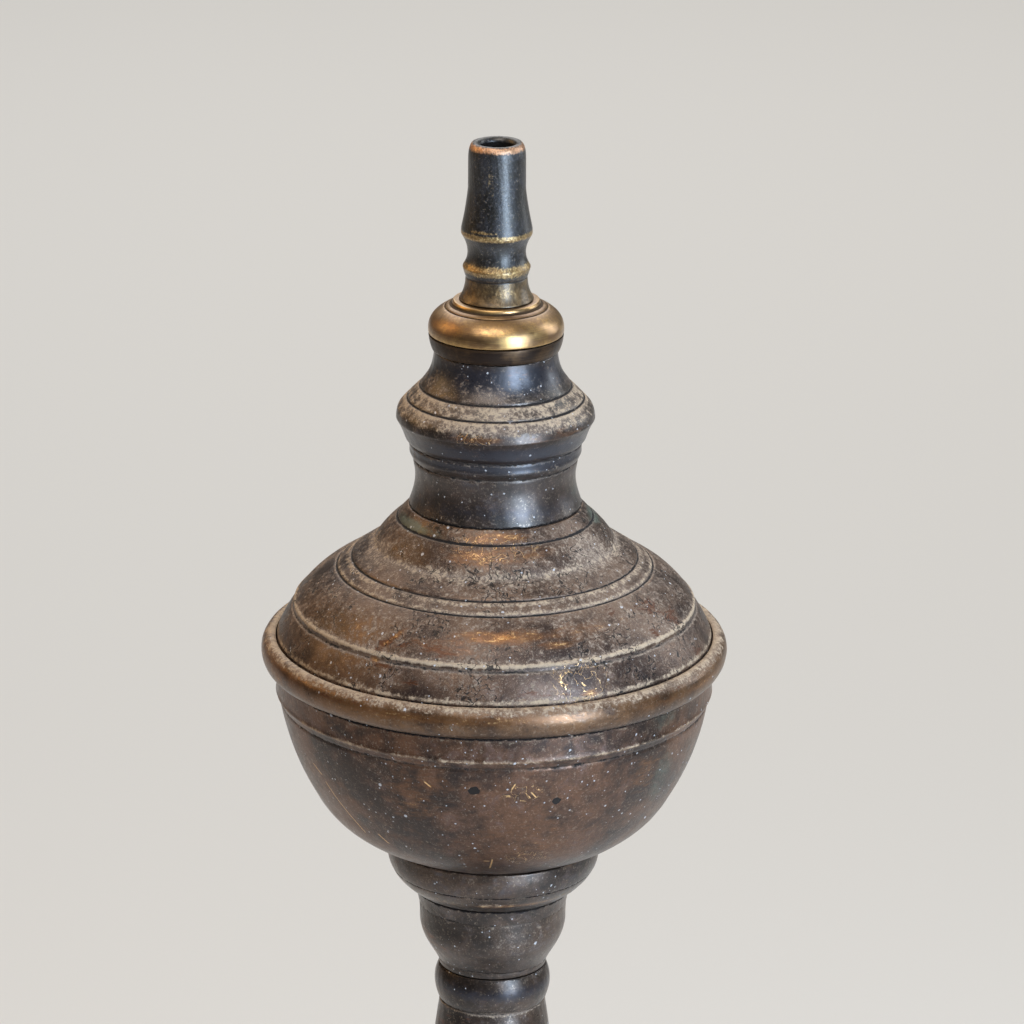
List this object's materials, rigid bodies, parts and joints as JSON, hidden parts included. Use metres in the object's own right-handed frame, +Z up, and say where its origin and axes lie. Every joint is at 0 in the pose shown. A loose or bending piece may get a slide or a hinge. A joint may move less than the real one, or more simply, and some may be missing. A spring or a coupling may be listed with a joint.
{
  "type": "covered standing oil lamp",
  "caption": "Turned brass standing oil lamp: hollow foot, knopped stem, covered round reservoir with stepped shoulder, bulged neck and a screw cap with a tubular wick nozzle.",
  "frame": {"origin": "on the floor, at the centre of the round foot", "axes": "+Z up along the lamp's turning axis; +X to the right and -Y towards the viewer of the picture; the lamp is a turned form, so X and Y are otherwise free"},
  "size_m": [0.23, 0.23, 0.8],
  "materials": {
    "patinated_bronze": "aged brown patina with dust and rubbed copper patches",
    "dark_bronze": "blue-black tarnish over brown patina",
    "yellow_brass": "handled satin golden brass",
    "sooted_bronze": "sooted, pitted blue-black",
    "seal_leather": "oiled",
    "cotton": "twisted, oil-soaked"
  },
  "bodies": {
    "stand": {"foot_base": "patinated_bronze", "foot_washer": "yellow_brass", "foot_nut": "yellow_brass", "stem_foot": "patinated_bronze", "lower_knop": "patinated_bronze", "lower_shaft": "patinated_bronze", "middle_knop": "patinated_bronze", "upper_shaft": "patinated_bronze", "lower_cup": "patinated_bronze", "bowl_collar": "patinated_bronze", "reservoir_bowl": "patinated_bronze"},
    "lid": {"rim_bead": "patinated_bronze", "shoulder_dome": "patinated_bronze", "lid_spigot": "patinated_bronze", "neck_casting": "dark_bronze", "mouth_collar": "yellow_brass"},
    "seal": {"cap_seal": "seal_leather"},
    "burner": {"screw_cap": "yellow_brass", "wick_nozzle": "sooted_bronze", "guide_tube": "yellow_brass"},
    "cotton": {"wick": "cotton"}
  },
  "joints": [
    {"name": "lid_lift", "type": "slide", "parent": "stand", "child": "lid", "axis": [0, 0, 1], "range_m": [0, 0.12]},
    {"name": "cap_rise", "type": "slide", "parent": "lid", "child": "seal", "axis": [0, 0, 1], "range_m": [0, 0.009]},
    {"name": "cap_turn", "type": "hinge", "parent": "seal", "child": "burner", "pos_m": [0, 0, 0.7245], "axis": [0, 0, 1], "range_deg": [0, 1080]},
    {"name": "wick_feed", "type": "slide", "parent": "burner", "child": "cotton", "axis": [0, 0, 1], "range_m": [-0.005, 0.02]}
  ],
  "couplings": [
    {"joint": "cap_turn", "follows": "cap_rise", "rad_per_m": 2094.4}
  ]
}
